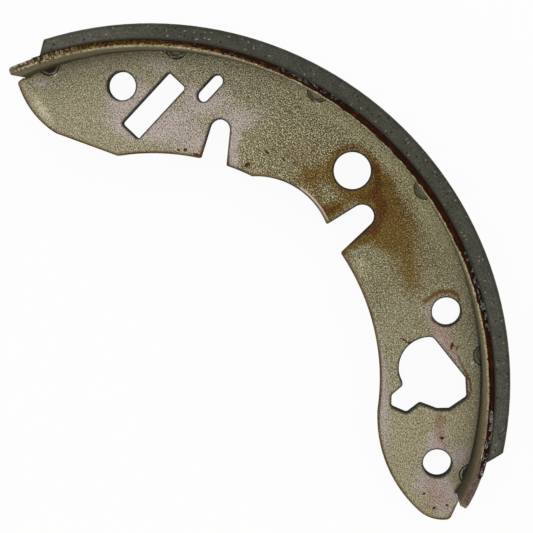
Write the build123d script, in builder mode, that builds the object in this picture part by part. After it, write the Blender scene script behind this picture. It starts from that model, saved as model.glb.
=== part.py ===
"""Bonded drum brake shoe for a 200 mm drum, 40 mm wide. Sizes are millimetres, angles degrees.

A flat stamped web carries a rolled steel rim, welded to its outer edge, and the friction lining
is glued on the rim. The origin is the centre of the web's hold-down hole, halfway through the web.
+Z is parallel to the drum's axis, +Y runs along the shoe's midline towards the lining, and +X runs
along the chord towards the hooked end. Angles are measured from the midline, positive towards +X.
"""

import os
from math import cos, degrees, radians, sin

from build123d import *

# Drum and lining
DRUM_RADIUS = 100.0
LINING_WIDTH = 40.0
LINING_THICKNESS = 5.0  # on the midline, from which it thins towards both ends
LINING_OFFSET = 2.3  # of the drum's axis from the centre of the rim's arc
LINING_LEFT_ANGLE = 60.4
LINING_RIGHT_ANGLE = 58.1
LEFT_BEVEL_ANGLE = 32.0
RIGHT_BEVEL_ANGLE = 43.5
LINING_CHAMFER = 0.5

# Adhesive film, with the lip that was squeezed out over the rim's side edges
ADHESIVE_THICKNESS = 0.2
ADHESIVE_LAP = 2.5
LIP_THICKNESS = 0.2
LIP_DEPTH = 1.2

# Rim, a rolled strip whose right end is bent in
RIM_MARGIN = 0.3  # from the side of the lining to the rim's edge
RIM_THICKNESS = 1.9
RIM_LEFT_ANGLE = 66.4
BEND_START_ANGLE = 57.9
BEND_RADIUS = 41.0
BEND_ANGLE = 20.2
RIM_CORNER = 2.5
RIM_END_ROUND = 1.2
RIM_EDGE_BREAK = 0.25

# Web: insets are measured inwards from the rim's inner face
WEB_THICKNESS = 3.6
WEB_DEPTH = 29.3
WEB_LEFT_ANGLE = 66.8
WEB_RIGHT_ANGLE = 68.2
LEFT_SHOULDER = 0.2  # how far the web's ends stand out past the rim's inner face
RIGHT_SHOULDER = 0.5
RIM_END_GAP = 0.4
WEB_EDGE_BREAK = 0.25  # at 45 degrees, round the front face

# Left end of the web
LEFT_TIP_ANGLE = 67.9
LEFT_TIP_INSET = 0.3
LEFT_TIP_ROUND = 0.9
LOBE_ANGLE = 65.0
LOBE_INSET = 18.1
LOBE_BULGE = 1.7
LOBE_ROUND = 5.0
TOE_ANGLE = 52.3
TOE_ROUND = 1.0

# Hooked right end of the web
TAIL_ANGLE = 54.7
TAIL_BULGE = 3.4
TAIL_ROUND = 6.0
HOOK_ANGLE = 72.8
HOOK_INSET = 9.0
RIGHT_TIP_ANGLE = 71.7
RIGHT_TIP_INSET = -0.4
RIGHT_TIP_ROUND = 1.7

# Shallow recess in the inner edge, and the two notches beside it
RECESS_ANGLE = -4.7
RECESS_RADIUS = 21.9
RECESS_RISE = 3.9
NOTCH_TAPER_ANGLE = 5.8
MOUTH_ROUND = 0.5
LEFT_NOTCH_ANGLE = -28.4
LEFT_NOTCH_INSET = 20.0
LEFT_NOTCH_RADIUS = 2.95
LEFT_LEAN_ANGLE = -31.6
RIGHT_NOTCH_ANGLE = 8.3
RIGHT_NOTCH_INSET = 18.1
RIGHT_NOTCH_RADIUS = 3.4
RIGHT_LEAN_ANGLE = 8.7

# Round holes
HOLD_DOWN_INSET = 11.4
HOLD_DOWN_RADIUS = 5.35
PIN_HOLE_RADIUS = 4.1
PIN_HOLE_ANGLES = (-49.35, 33.05, 62.8)
PIN_HOLE_INSETS = (9.5, 7.95, 9.1)

# Slots, both parallel to the midline
LONG_SLOT_ANGLE = -43.2
LONG_SLOT_INSET = 15.7
LONG_SLOT_WIDTH = 6.6
LONG_SLOT_LENGTH = 20.2
LONG_SLOT_CORNER = 0.8
SHORT_SLOT_ANGLE = -32.2
SHORT_SLOT_INSET = 9.1
SHORT_SLOT_WIDTH = 3.4
SHORT_SLOT_LENGTH = 9.1

# Window for the adjuster lever: corners about its own origin, clockwise from the top left
WINDOW_ANGLE = 45.5
WINDOW_INSET = 14.9
WINDOW_BAY = ((-7.3, 8.9), (7.9, 6.8), (12.1, 2.9), (10.9, -3.1), (8.4, -5.6), (3.5, -7.7))
WINDOW_LOBE = ((2.8, -12.5), (-1.7, -14.2), (-4.1, -11.6), (-3.7, -7.0))
WINDOW_LEFT_SIDE = (-10.6, 2.2)  # on the arc from the lobe back to the first corner
WINDOW_TOP_ROUND = 2.0
WINDOW_ROUND = 1.1

# Coined dents that raised the weld projections
DENT_ANGLES = (-61.6, -39.2, -13.6, 11.1, 41.9, 63.1)
DENT_RADIUS = 3.3
DENT_OVERLAP = 1.1  # of the dent's centre past the rim's inner face
DENT_DEPTH = 0.9
DENT_TAPER_ANGLE = 50.0

# The rim follows the drum, less the lining and the film
RIM_WIDTH = LINING_WIDTH - 2 * RIM_MARGIN
RIM_OUTER_RADIUS = DRUM_RADIUS + LINING_OFFSET - LINING_THICKNESS - ADHESIVE_THICKNESS
RIM_INNER_RADIUS = RIM_OUTER_RADIUS - RIM_THICKNESS
FILM_OUTER_RADIUS = RIM_OUTER_RADIUS + ADHESIVE_THICKNESS
WEB_INNER_RADIUS = RIM_INNER_RADIUS - WEB_DEPTH
HOLD_DOWN_PITCH = RIM_INNER_RADIUS - HOLD_DOWN_INSET

rim_plane = Plane(origin=(0, -HOLD_DOWN_PITCH, 0))
web_front = rim_plane.offset(WEB_THICKNESS / 2)
web_back = rim_plane.offset(-WEB_THICKNESS / 2)


def at(radius, angle):
    """Point at a radius from the centre of the rim's arc and an angle from the midline."""
    return (radius * sin(radians(angle)), radius * cos(radians(angle)))


def inset(distance, angle):
    """Point at a distance inside the rim's inner face."""
    return at(RIM_INNER_RADIUS - distance, angle)


def draw_layer(inner, outer, left, bend):
    """Fill the layer between two heights above the rim's inner face.

    It runs from an angle on the left, round the main arc and along some degrees of the bent end.
    """
    sides = []
    with BuildLine() as outline:
        for height in (inner, outer):
            arc = CenterArc((0, 0), RIM_INNER_RADIUS + height, 90 - BEND_START_ANGLE, BEND_START_ANGLE + left)
            bent = JernArc(arc @ 0, -(arc % 0), BEND_RADIUS + height, -bend)
            sides.append((arc @ 1, bent @ 1))
        Line(sides[0][0], sides[1][0])
        Line(sides[0][1], sides[1][1])
    make_face(outline.edges())


def round_corner(sketch, point, radius):
    """Round the corner of a sketch that lies nearest to a point."""
    fillet(sketch.vertices().sort_by_distance((*point, 0))[0], radius)


def notch_face(tip_radius, length):
    """Notch with a round tip at the origin, which widens towards its mouth along -Y."""
    across, along = cos(radians(NOTCH_TAPER_ANGLE)), sin(radians(NOTCH_TAPER_ANGLE))
    with BuildSketch(mode=Mode.PRIVATE) as notch:
        with BuildLine():
            right = PolarLine((tip_radius * across, tip_radius * along), length, direction=(along, -across))
            left = PolarLine((-tip_radius * across, tip_radius * along), length, direction=(-along, -across))
            ThreePointArc(left @ 0, (0, tip_radius), right @ 0)
            Line(left @ 1, right @ 1)
        make_face()
    return notch.face()


def window_face():
    """Lever window, about the origin: a wide bay with a narrow lobe below it."""
    corners = (*WINDOW_BAY, *WINDOW_LOBE)
    with BuildSketch(mode=Mode.PRIVATE) as window:
        with BuildLine():
            Polyline(*corners)
            ThreePointArc(corners[-1], WINDOW_LEFT_SIDE, corners[0])
        make_face()
        round_corner(window, corners[0], WINDOW_TOP_ROUND)
        for corner in corners[1:]:
            round_corner(window, corner, WINDOW_ROUND)
    return window.face()


# Web
with BuildPart() as web:
    with BuildSketch(web_back) as web_face:
        left_end = inset(-LEFT_SHOULDER, -WEB_LEFT_ANGLE)
        left_tip = inset(LEFT_TIP_INSET, -LEFT_TIP_ANGLE)
        lobe = inset(LOBE_INSET, -LOBE_ANGLE)
        toe = at(WEB_INNER_RADIUS, -TOE_ANGLE)
        tail = at(WEB_INNER_RADIUS, TAIL_ANGLE)
        hook = inset(HOOK_INSET, HOOK_ANGLE)
        right_tip = inset(RIGHT_TIP_INSET, RIGHT_TIP_ANGLE)
        right_end = inset(-RIGHT_SHOULDER, WEB_RIGHT_ANGLE)
        with BuildLine():
            Line(left_end, left_tip)
            SagittaArc(left_tip, lobe, -LOBE_BULGE)
            Line(lobe, toe)
            ThreePointArc(toe, (0, WEB_INNER_RADIUS), tail)
            tail_arc = SagittaArc(tail, hook, -TAIL_BULGE)
            TangentArc(hook, right_tip, tangent=tail_arc % 1)
            Line(right_tip, right_end)
            ThreePointArc(right_end, inset(-RIGHT_SHOULDER, 0), left_end)
        make_face()
        round_corner(web_face, left_tip, LEFT_TIP_ROUND)
        round_corner(web_face, lobe, LOBE_ROUND)
        round_corner(web_face, toe, TOE_ROUND)
        round_corner(web_face, tail, TAIL_ROUND)
        round_corner(web_face, right_tip, RIGHT_TIP_ROUND)
        with Locations(at(WEB_INNER_RADIUS + RECESS_RISE - RECESS_RADIUS, RECESS_ANGLE)):
            Circle(RECESS_RADIUS, mode=Mode.SUBTRACT)
        left_notch = Location((*inset(LEFT_NOTCH_INSET, LEFT_NOTCH_ANGLE), 0), (0, 0, -LEFT_LEAN_ANGLE))
        right_notch = Location((*inset(RIGHT_NOTCH_INSET, RIGHT_NOTCH_ANGLE), 0), (0, 0, -RIGHT_LEAN_ANGLE))
        with Locations(left_notch):
            add(notch_face(LEFT_NOTCH_RADIUS, WEB_DEPTH), mode=Mode.SUBTRACT)
        with Locations(right_notch):
            add(notch_face(RIGHT_NOTCH_RADIUS, WEB_DEPTH), mode=Mode.SUBTRACT)
        for mouth_angle in (LEFT_NOTCH_ANGLE, RIGHT_NOTCH_ANGLE):
            mouth = (*at(WEB_INNER_RADIUS, mouth_angle), 0)
            fillet(web_face.vertices().sort_by_distance(mouth)[:2], MOUTH_ROUND)
        with Locations(inset(LONG_SLOT_INSET, LONG_SLOT_ANGLE)):
            RectangleRounded(LONG_SLOT_WIDTH, LONG_SLOT_LENGTH, LONG_SLOT_CORNER, mode=Mode.SUBTRACT)
        with Locations(inset(SHORT_SLOT_INSET, SHORT_SLOT_ANGLE)):
            SlotOverall(SHORT_SLOT_LENGTH, SHORT_SLOT_WIDTH, rotation=90, mode=Mode.SUBTRACT)
        with Locations(inset(WINDOW_INSET, WINDOW_ANGLE)):
            add(window_face(), mode=Mode.SUBTRACT)
    extrude(amount=WEB_THICKNESS)
    with Locations(web_front):
        with Locations(inset(HOLD_DOWN_INSET, 0)):
            Hole(HOLD_DOWN_RADIUS)
        with Locations(*map(inset, PIN_HOLE_INSETS, PIN_HOLE_ANGLES)):
            Hole(PIN_HOLE_RADIUS)
    chamfer(web.faces().sort_by(Axis.Z)[-1].edges(), WEB_EDGE_BREAK)
    # Fit the outer edge under the rim, and leave a shoulder past each of its ends
    with BuildSketch(web_back):
        relief_left = RIM_LEFT_ANGLE + degrees(RIM_END_GAP / RIM_INNER_RADIUS)
        relief_bend = BEND_ANGLE + degrees(RIM_END_GAP / BEND_RADIUS)
        draw_layer(0, RIM_THICKNESS + RIGHT_SHOULDER, relief_left, relief_bend)
    extrude(amount=WEB_THICKNESS, mode=Mode.SUBTRACT)
    # Coin both faces beside the rim
    dent_points = [inset(-DENT_OVERLAP, angle) for angle in DENT_ANGLES]
    for coined_face, depth in ((web_front, -DENT_DEPTH), (web_back, DENT_DEPTH)):
        with BuildSketch(coined_face):
            with Locations(*dent_points):
                Circle(DENT_RADIUS)
        extrude(amount=depth, taper=DENT_TAPER_ANGLE, mode=Mode.SUBTRACT)

# Rim
with BuildPart() as rim:
    with BuildSketch(rim_plane.offset(-RIM_WIDTH / 2)):
        draw_layer(0, RIM_THICKNESS, RIM_LEFT_ANGLE, BEND_ANGLE)
    extrude(amount=RIM_WIDTH)
    ends = rim.faces().filter_by(GeomType.PLANE).filter_by(Axis.Z, reverse=True)
    fillet(ends.edges().filter_by(Axis.Z, reverse=True), RIM_CORNER)
    inner_faces = rim.faces().filter_by(GeomType.CYLINDER).sort_by_distance(rim_plane.origin)[:2]
    chamfer(inner_faces.edges().filter_by(GeomType.CIRCLE), RIM_EDGE_BREAK)
    # Round the outer edge of both ends
    with BuildSketch(rim_plane.offset(-RIM_WIDTH / 2)) as rim_side:
        draw_layer(0, RIM_THICKNESS, RIM_LEFT_ANGLE, BEND_ANGLE)
        for end in rim_side.edges().filter_by(GeomType.LINE):
            fillet(end.vertices().sort_by_distance((0, 0, 0))[-1], RIM_END_ROUND)
    extrude(amount=RIM_WIDTH, mode=Mode.INTERSECT)

# Adhesive: a film under the lining, and a lip down each side edge of the rim
with BuildPart() as adhesive:
    lap_left = LINING_LEFT_ANGLE + degrees(ADHESIVE_LAP / FILM_OUTER_RADIUS)
    lap_bend = degrees(ADHESIVE_LAP / BEND_RADIUS)
    with BuildSketch(rim_plane.offset(-RIM_WIDTH / 2)):
        draw_layer(RIM_THICKNESS, RIM_THICKNESS + ADHESIVE_THICKNESS, lap_left, lap_bend)
    extrude(amount=RIM_WIDTH)
    with BuildSketch(rim_plane.offset(RIM_WIDTH / 2), rim_plane.offset(-RIM_WIDTH / 2 - LIP_THICKNESS)):
        draw_layer(RIM_THICKNESS - LIP_DEPTH, RIM_THICKNESS + ADHESIVE_THICKNESS, lap_left, lap_bend)
    extrude(amount=LIP_THICKNESS)

# Lining: its outer face follows the drum and its inner face the film
with BuildPart() as lining:
    with BuildSketch(rim_plane.offset(-LINING_WIDTH / 2)):
        with BuildLine():
            span = LINING_RIGHT_ANGLE + LINING_LEFT_ANGLE
            bond = CenterArc((0, 0), FILM_OUTER_RADIUS, 90 - LINING_RIGHT_ANGLE, span)
            drum = CenterArc((0, LINING_OFFSET), DRUM_RADIUS, 0, 180, mode=Mode.PRIVATE)
            right = IntersectingLine(bond @ 0, at(1, LINING_RIGHT_ANGLE - RIGHT_BEVEL_ANGLE), drum)
            left = IntersectingLine(bond @ 1, at(1, LEFT_BEVEL_ANGLE - LINING_LEFT_ANGLE), drum)
            ThreePointArc(right @ 1, (0, LINING_OFFSET + DRUM_RADIUS), left @ 1)
        make_face()
    extrude(amount=LINING_WIDTH)
    chamfer(lining.edges().filter_by(GeomType.CIRCLE).group_by(SortBy.RADIUS)[-1], LINING_CHAMFER)

pieces = {"web": web, "rim": rim, "adhesive": adhesive, "lining": lining}
os.makedirs("parts", exist_ok=True)
for name, piece in pieces.items():
    piece.part.label = name
    export_step(piece.part, f"parts/{name}.step")
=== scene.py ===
"""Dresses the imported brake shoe: coated steel web and rim, cured adhesive and moulded friction lining.

Patterns are drawn in the part's own frame, in millimetres: +Z parallel to the drum's axis, +Y along the
shoe's midline towards the lining, +X along the chord towards the hooked end, and the origin at the
hold-down hole. Angles round the rim are measured from the midline, positive towards +X.
"""

import math

import bpy
import numpy as np
from bpy.props import FloatProperty, FloatVectorProperty, PointerProperty
from bpy.types import Operator, Panel, PropertyGroup
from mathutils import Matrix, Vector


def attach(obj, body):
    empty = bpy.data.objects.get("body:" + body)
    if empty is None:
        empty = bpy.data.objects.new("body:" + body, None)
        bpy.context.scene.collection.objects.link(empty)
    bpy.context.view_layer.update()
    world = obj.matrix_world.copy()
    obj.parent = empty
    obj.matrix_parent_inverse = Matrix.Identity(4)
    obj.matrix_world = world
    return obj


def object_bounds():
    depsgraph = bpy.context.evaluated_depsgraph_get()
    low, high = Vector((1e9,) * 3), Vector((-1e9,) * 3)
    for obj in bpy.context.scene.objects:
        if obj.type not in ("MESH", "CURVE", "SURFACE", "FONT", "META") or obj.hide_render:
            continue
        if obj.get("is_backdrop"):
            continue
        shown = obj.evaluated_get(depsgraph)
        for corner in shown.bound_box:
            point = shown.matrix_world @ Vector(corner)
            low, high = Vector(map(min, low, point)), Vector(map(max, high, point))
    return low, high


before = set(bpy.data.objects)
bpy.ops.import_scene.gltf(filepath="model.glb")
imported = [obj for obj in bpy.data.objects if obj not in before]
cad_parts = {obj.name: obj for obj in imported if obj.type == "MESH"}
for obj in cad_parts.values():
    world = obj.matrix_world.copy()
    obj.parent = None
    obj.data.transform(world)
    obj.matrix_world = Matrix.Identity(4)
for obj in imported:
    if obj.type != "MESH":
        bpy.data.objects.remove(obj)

bl_info = {
    "name": "Brake Shoe Finish",
    "version": (1, 0, 0),
    "blender": (4, 5, 0),
    "location": "3D View > Sidebar > Brake Shoe",
    "description": "Gives the brake shoe its finishes, its squeezed-out adhesive and a stage",
    "category": "Object",
}

MILLIMETRE = 0.001

# Sizes repeated from the part, in millimetres and degrees
PITCH = 83.8  # from the centre of the rim's arc to the hold-down hole
RIM_INNER_RADIUS = 95.2
FILM_RADIUS = 97.3  # of the adhesive's outer face
RIM_SIDE = 19.7  # height of the rim's side edge above the middle of the web
BEND_START = 57.9
BEND_RADIUS = 41.0
WEB_INNER_RADIUS = 65.9
WEB_END_RISE = 21.0  # how much farther out the web's outline lies at its ends
DENT_CENTRE = 96.3  # from the centre of the rim's arc
DENT_REACH = 3.4
DENT_ANGLES = (-61.6, -39.2, -13.6, 11.1, 41.9, 63.1)

# The web's coating
DARKEST_ANGLE = 2.0  # where its tone is darkest
CLOUD_REACH = 26.0  # how many degrees its clouds shift that
OUTLINE_ROLL = 1.4  # reach of the rolled outline
FLAT = 1000.0  # half height of a blotch, so that it runs right through the web

# Bead of adhesive: distances along the rim's inner face from the midline, and heights above that face
BEAD_START, BEAD_END = -102.5, 101.5
BEAD_STEP = 0.25
BEAD_AROUND = 20  # points in its section
BEAD_TAPER = 1.5  # length of each end
BEAD_LOW, BEAD_LOW_RISE = 0.3, 0.6  # its lower edge on the midline, and how much that rises to the ends
BEAD_HIGH = FILM_RADIUS - RIM_INNER_RADIUS - 0.02
BEAD_DEPTH = 0.23  # half of it, away from the side edge
BEAD_PROUD = 0.03  # its middle above the side edge
LOW_RIPPLES = ((0.12, 2.3), (0.12, 0.8))  # height and length of the waves of its lower edge
DEPTH_RIPPLE = (0.03, 1.4)

# Flakes of dried adhesive on the bead
FLAKE_CORNERS = 6
FLAKE_STRETCH, FLAKE_SQUEEZE = 1.3, 0.6  # along the rim, and across it
FLAKE_HEIGHTS = (1.2, 2.1)
FLAKE_LOWEST = 0.35
FLAKE_THICKNESS = 0.22
FLAKE_PROUD, FLAKE_TOP = 0.28, 0.3  # their upper face above the side edge, and the most that it may be
FLAKE_HIGHLIGHT = 0.3  # painted highlight: how much paler their rims are than their usual tone, and how much darker their middles

# Camera and softbox
CAMERA_LENS, CAMERA_SENSOR = 95.1, 36.0
CAMERA_PLACE = (-3.8, 9.7, 406.8)
CAMERA_TURNS = (-5.255, 4.025, 43.363)
SOFTBOX_ASIDE = (-0.2, 0.25)  # metres

# Blotches: centre x, y, half length, half width, turn, height of the cone
# Where varnish ran together
VARNISH_POOLS = (
    (0.0, 0.0, 9.0, 9.0, 0.0, 1.45),
    (13.0, -1.5, 10.0, 5.0, -55.0, 1.2),
    (6.5, 3.8, 7.0, 4.0, -15.0, 0.5),
    (7.0, -3.2, 7.0, 3.6, 25.0, 0.7),
    (3.8, -12.2, 7.0, 2.4, 76.0, 1.1),
    (14.9, -12.0, 9.0, 2.8, 82.0, 1.4),
    (18.0, -9.5, 7.5, 4.0, 10.0, 0.7),
    (15.5, -1.5, 14.0, 10.0, -30.0, 0.62),
    (26.5, -6.0, 17.0, 7.5, -32.0, 0.6),
    (33.5, -10.5, 8.0, 3.4, -40.0, 0.3),
    (-7.5, -9.0, 8.0, 4.0, 60.0, 0.45),
    (-2.5, -12.0, 9.0, 2.6, -15.0, 0.35),
    (-9.0, -7.0, 22.0, 13.0, 10.0, 0.28),
)
# Where it is thickest
VARNISH_CORES = (
    (-6.6, 1.5, 3.6, 1.3, 75.0, 0.7),
    (-4.4, 5.2, 3.4, 1.3, 40.0, 0.8),
    (0.3, 6.8, 3.6, 1.4, 0.0, 0.8),
    (4.4, 5.0, 3.4, 1.9, -35.0, 1.1),
    (8.0, 2.2, 3.6, 2.0, -45.0, 1.2),
    (11.4, -0.7, 4.4, 2.2, -30.0, 1.5),
    (9.4, -0.8, 3.0, 1.8, 0.0, 1.2),
    (14.4, -2.8, 3.8, 2.2, -62.0, 1.5),
    (16.3, -6.8, 4.2, 2.0, -68.0, 1.2),
    (7.2, -3.6, 3.8, 1.6, 34.0, 0.8),
    (13.2, -12.6, 4.2, 1.5, 66.0, 1.3),
    (15.2, -9.0, 3.0, 1.5, 66.0, 1.1),
    (3.5, -12.2, 4.2, 1.3, 75.0, 1.3),
    (0.8, -13.3, 3.4, 1.0, -25.0, 0.9),
    (-7.0, -9.5, 3.4, 1.0, 60.0, 0.6),
)
# Where it stopped and dried in a line
VARNISH_LINES = (
    (41.2, -12.2, 2.2, 1.0, 80.0, 1.2),
    (41.7, -9.2, 2.4, 1.0, 76.0, 1.3),
    (43.2, -6.8, 2.4, 1.0, 45.0, 1.4),
    (45.4, -5.2, 2.2, 0.9, 10.0, 1.4),
    (47.6, -5.7, 1.8, 0.6, -40.0, 1.0),
    (46.6, -15.2, 2.6, 0.6, -12.0, 0.9),
    (49.6, -14.6, 1.8, 0.5, 25.0, 0.8),
    (57.2, -16.2, 1.6, 0.45, -60.0, 1.1),
    (59.2, -17.6, 1.8, 0.45, -30.0, 1.0),
    (61.8, -18.7, 2.4, 0.5, -22.0, 1.1),
    (65.0, -19.9, 2.4, 0.6, -22.0, 1.5),
    (67.4, -21.2, 2.2, 0.6, -42.0, 1.5),
    (69.0, -23.2, 2.0, 0.5, -60.0, 1.3),
    (13.6, -17.6, 2.4, 1.0, -75.0, 1.5),
)
# Painted highlights along the recess's rolled edge and at the left tip, and a pale spot
HIGHLIGHT_LINES = (
    (-5.6, -13.6, 3.2, 0.5, 4.0, 1.2),
    (-2.0, -13.6, 2.6, 0.5, -5.0, 1.4),
    (1.0, -14.1, 2.6, 0.6, -12.0, 1.5),
    (3.9, -15.0, 2.4, 0.6, -21.0, 1.5),
    (-83.4, -44.4, 1.8, 0.35, 60.0, 1.0),
    (-82.3, -43.6, 1.4, 0.3, 68.0, 1.0),
    (63.3, -16.2, 0.7, 0.6, 0.0, 1.4),
)
# Painted highlights in the coined dents, the last at the hooked end
DENT_HIGHLIGHTS = (
    (-82.0, -38.6, 1.2, 0.4, 86.0, 1.4),
    (-81.2, -38.9, 0.9, 0.3, 86.0, 1.2),
    (-59.8, -11.7, 1.3, 0.32, 40.0, 1.0),
    (-58.5, -9.9, 0.8, 0.3, 40.0, 0.9),
    (-21.0, 7.2, 1.6, 0.32, 12.0, 1.0),
    (83.5, -41.4, 1.6, 0.4, -63.0, 0.9),
)
# Where the coating is thin
BARE_PATCHES = (
    (-47.0, -24.5, 13.0, 6.0, 55.0, 0.85),
    (-60.0, -25.5, 10.0, 5.5, 30.0, 0.9),
    (-59.0, -35.0, 9.0, 7.0, 10.0, 0.85),
    (-61.0, -16.5, 8.0, 3.6, 35.0, 0.7),
    (-50.0, -32.0, 12.0, 5.5, 35.0, 0.8),
    (-44.5, -13.5, 13.0, 6.0, 30.0, 0.95),
    (-38.0, -25.0, 9.0, 6.5, 60.0, 0.85),
    (-33.0, -11.0, 10.0, 5.0, 58.0, 0.75),
    (-28.2, -20.2, 8.0, 2.6, -40.0, 1.0),
    (-30.4, -17.4, 8.0, 2.6, -52.0, 0.7),
    (-82.3, -43.2, 4.5, 2.0, 50.0, 0.9),
    (-62.2, -31.5, 6.0, 3.0, 20.0, 0.7),
    (46.8, -11.6, 7.2, 7.2, 0.0, 0.85),
    (51.6, -17.0, 7.0, 3.4, -30.0, 0.8),
    (58.8, -18.6, 9.0, 2.2, -28.0, 0.85),
    (67.0, -23.0, 7.0, 1.6, -48.0, 0.8),
    (51.0, -41.0, 26.0, 3.4, -42.0, 1.0),
    (71.5, -39.0, 8.0, 3.6, -60.0, 0.75),
    (80.0, -50.5, 10.0, 6.0, 20.0, 0.9),
    (85.5, -50.5, 8.0, 7.0, 0.0, 1.0),
    (74.5, -42.5, 8.0, 8.0, 0.0, 0.7),
    (79.5, -38.5, 5.0, 4.0, -60.0, 0.7),
    (84.0, -36.0, 9.0, 6.0, -60.0, 0.5),
)
# Where rust began under the varnish
BLUSHES = (
    (68.3, -34.2, 4.5, 1.6, -50.0, 0.75),
    (70.2, -37.0, 4.5, 2.4, -50.0, 0.85),
    (73.4, -38.8, 4.0, 2.0, -20.0, 0.7),
    (66.0, -31.0, 7.0, 2.0, 30.0, 0.6),
    (56.0, -17.2, 7.0, 2.6, -30.0, 0.7),
    (50.6, -16.4, 5.0, 1.6, -10.0, 0.65),
    (48.5, -13.5, 7.0, 6.0, 0.0, 0.3),
    (80.6, -51.5, 9.0, 4.0, -52.0, 0.6),
    (86.3, -51.0, 7.0, 5.0, 40.0, 0.5),
    (-27.5, -18.0, 4.0, 1.2, 60.0, 0.6),
)
# Painted sheen, where the grain's tops are lighter
LIT_PATCHES = (
    (-78.0, -48.6, 8.5, 2.2, -14.0, 1.15),
    (-84.3, -43.3, 3.6, 1.6, 60.0, 0.85),
    (85.5, -35.5, 3.0, 1.6, 40.0, 0.8),
    (20.8, -17.8, 7.0, 4.5, -25.0, 0.55),
)
# Spots of rust
RUST_SPOTS = (
    (-23.1, -19.5, 1.3, 0.9, 60.0, 1.4),
    (-21.4, -12.9, 0.9, 0.7, 0.0, 1.1),
    (-16.3, -11.2, 0.9, 0.6, 0.0, 0.9),
    (-13.8, -9.6, 1.1, 0.5, 45.0, 0.9),
    (-40.5, -30.1, 0.7, 0.5, 0.0, 1.3),
    (-39.1, -28.7, 0.7, 0.5, 0.0, 1.3),
    (-35.6, -27.5, 1.8, 0.7, 20.0, 1.3),
    (14.2, -18.4, 1.8, 0.8, -60.0, 1.4),
    (55.7, -16.7, 1.5, 0.6, -60.0, 1.5),
    (44.6, -25.0, 1.8, 0.4, 20.0, 1.4),
    (46.3, -24.4, 0.8, 0.5, 60.0, 1.4),
    (72.3, -38.1, 0.9, 0.6, 20.0, 1.2),
    (79.0, -30.0, 0.7, 0.5, 0.0, 1.2),
    (80.1, -53.6, 0.7, 0.5, 70.0, 1.3),
    (85.1, -54.6, 0.9, 0.6, 70.0, 1.3),
    (87.2, -51.3, 0.7, 0.5, 10.0, 1.3),
)
# Where the adhesive tore along the lining: angles from the midline
TORN_ANGLES = (-18.0, -14.0, -10.0, 25.0, 29.0, 33.0)
# Flakes of dried adhesive: first and last distance along the rim, how many, their size and how pale they are
FLAKE_RUNS = (
    (-34.0, -14.0, 40, 0.55, 0.35),
    (38.0, 60.0, 48, 0.65, 0.4),
    (83.0, 97.0, 24, 1.05, 0.45),
    (96.0, 100.5, 12, 0.5, 0.7),
)


def linear(colour):
    """Linear RGBA of an sRGB hex value."""
    channels = [int(colour[i : i + 2], 16) / 255 for i in (1, 3, 5)]
    return (*[c / 12.92 if c <= 0.04045 else ((c + 0.055) / 1.055) ** 2.4 for c in channels], 1.0)


def swatch(name, description, default):
    """Colour with an sRGB hex default."""
    return FloatVectorProperty(
        name=name, description=description, subtype="COLOR", size=4, min=0, max=1, default=linear(default)
    )


def measure(name, description, millimetres):
    """Length with a default in millimetres."""
    return FloatProperty(
        name=name, description=description, subtype="DISTANCE", unit="LENGTH", min=0, default=millimetres * MILLIMETRE
    )


class WebFinish(PropertyGroup):
    coated: swatch("Coated steel", "Coating near both ends of the web", "#938d73")
    # Darker tone of the coating in the middle of the web
    deep: swatch("Deep coating", "Coating in the middle of the web, where it is thickest", "#6e684a")
    pore: swatch("Pore", "Hollows between the grains", "#403826")
    glint: swatch("Glint", "Tops of the grains", "#cdc7aa")
    bare: swatch("Thin coating", "Where the steel shows through the coating", "#ada19e")
    # Painted sheen: lighter and greener along the rim and the rolled edges
    lit: swatch("Rim band", "Greener coating along the rim and the rolled edges", "#aca67e")
    amber: swatch("Amber varnish", "Tint of varnish that ran together", "#cfae6b")
    blush: swatch("Blush", "Tint of the first rust under the varnish", "#ead0c0")
    core: swatch("Varnish core", "Further tint along the thickest runs", "#d6b080")
    line: swatch("Varnish line", "Where a run of varnish stopped and dried", "#64400f")
    edge: swatch("Varnished edge", "Rolled outline under its varnish", "#574217")
    # Painted highlight: the recess's rolled edge and the left tip
    shine: swatch("Rubbed steel", "Rolled edge of the recess, and scratches, rubbed bright", "#c8b6a6")
    # Painted highlight: bright lines in the coined dents
    dent_highlight: swatch("Scratch", "Fresh scratches in a coined dent", "#f4ece0")
    # Painted shade: hole walls, the dents' rings and the line where the web meets the rim
    hole: swatch("Hole wall", "Walls of the holes and slots", "#211e19")
    rust: swatch("Rust", "Small rust spots", "#44210f")
    # Grime and painted shade in the outer coined dents and beside the rim
    dirt_and_shade: swatch("Dirt", "Dirt in the coined dents and beside the rim", "#2c281c")
    grain: measure("Grain", "Width of one grain of the coating", 0.35)
    relief: measure("Relief", "Height of the grain", 0.06)


class RimFinish(PropertyGroup):
    inner: swatch("Inner face", "Rolled face that the web stands on", "#777055")
    worn: swatch("Worn coating", "Lighter clouds on the inner face", "#857d63")
    # Grime and painted shade along the web and over the bent end
    dirt_and_shade: swatch("Dirt", "Dirt along the web, and over the bent end", "#3b3424")
    slit: swatch("Slit edge", "Side edges of the strip", "#968c6e")
    bent: swatch("Bent end", "Side edge of the bent end", "#5f4f4a")
    end: swatch("Left end", "Scuffed corner of the left end", "#a0918d")
    # Also a painted highlight on the left end's corner
    scuff: swatch("Scuff", "Pale scuffs along the side edges", "#b7b09a")
    rib: swatch("Shear rib", "Marks across the left end's side edge", "#33291a")
    # Painted highlight: golden lines along the corners of the strip
    corner_highlight: swatch("Golden line", "Varnish along the corners of the strip", "#8a6f42")
    stain: swatch("Stain", "Side edge beside the adhesive", "#41331c")
    grain: measure("Grain", "Width of one grain of the coating", 0.45)
    relief: measure("Relief", "Height of the grain", 0.05)


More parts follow.
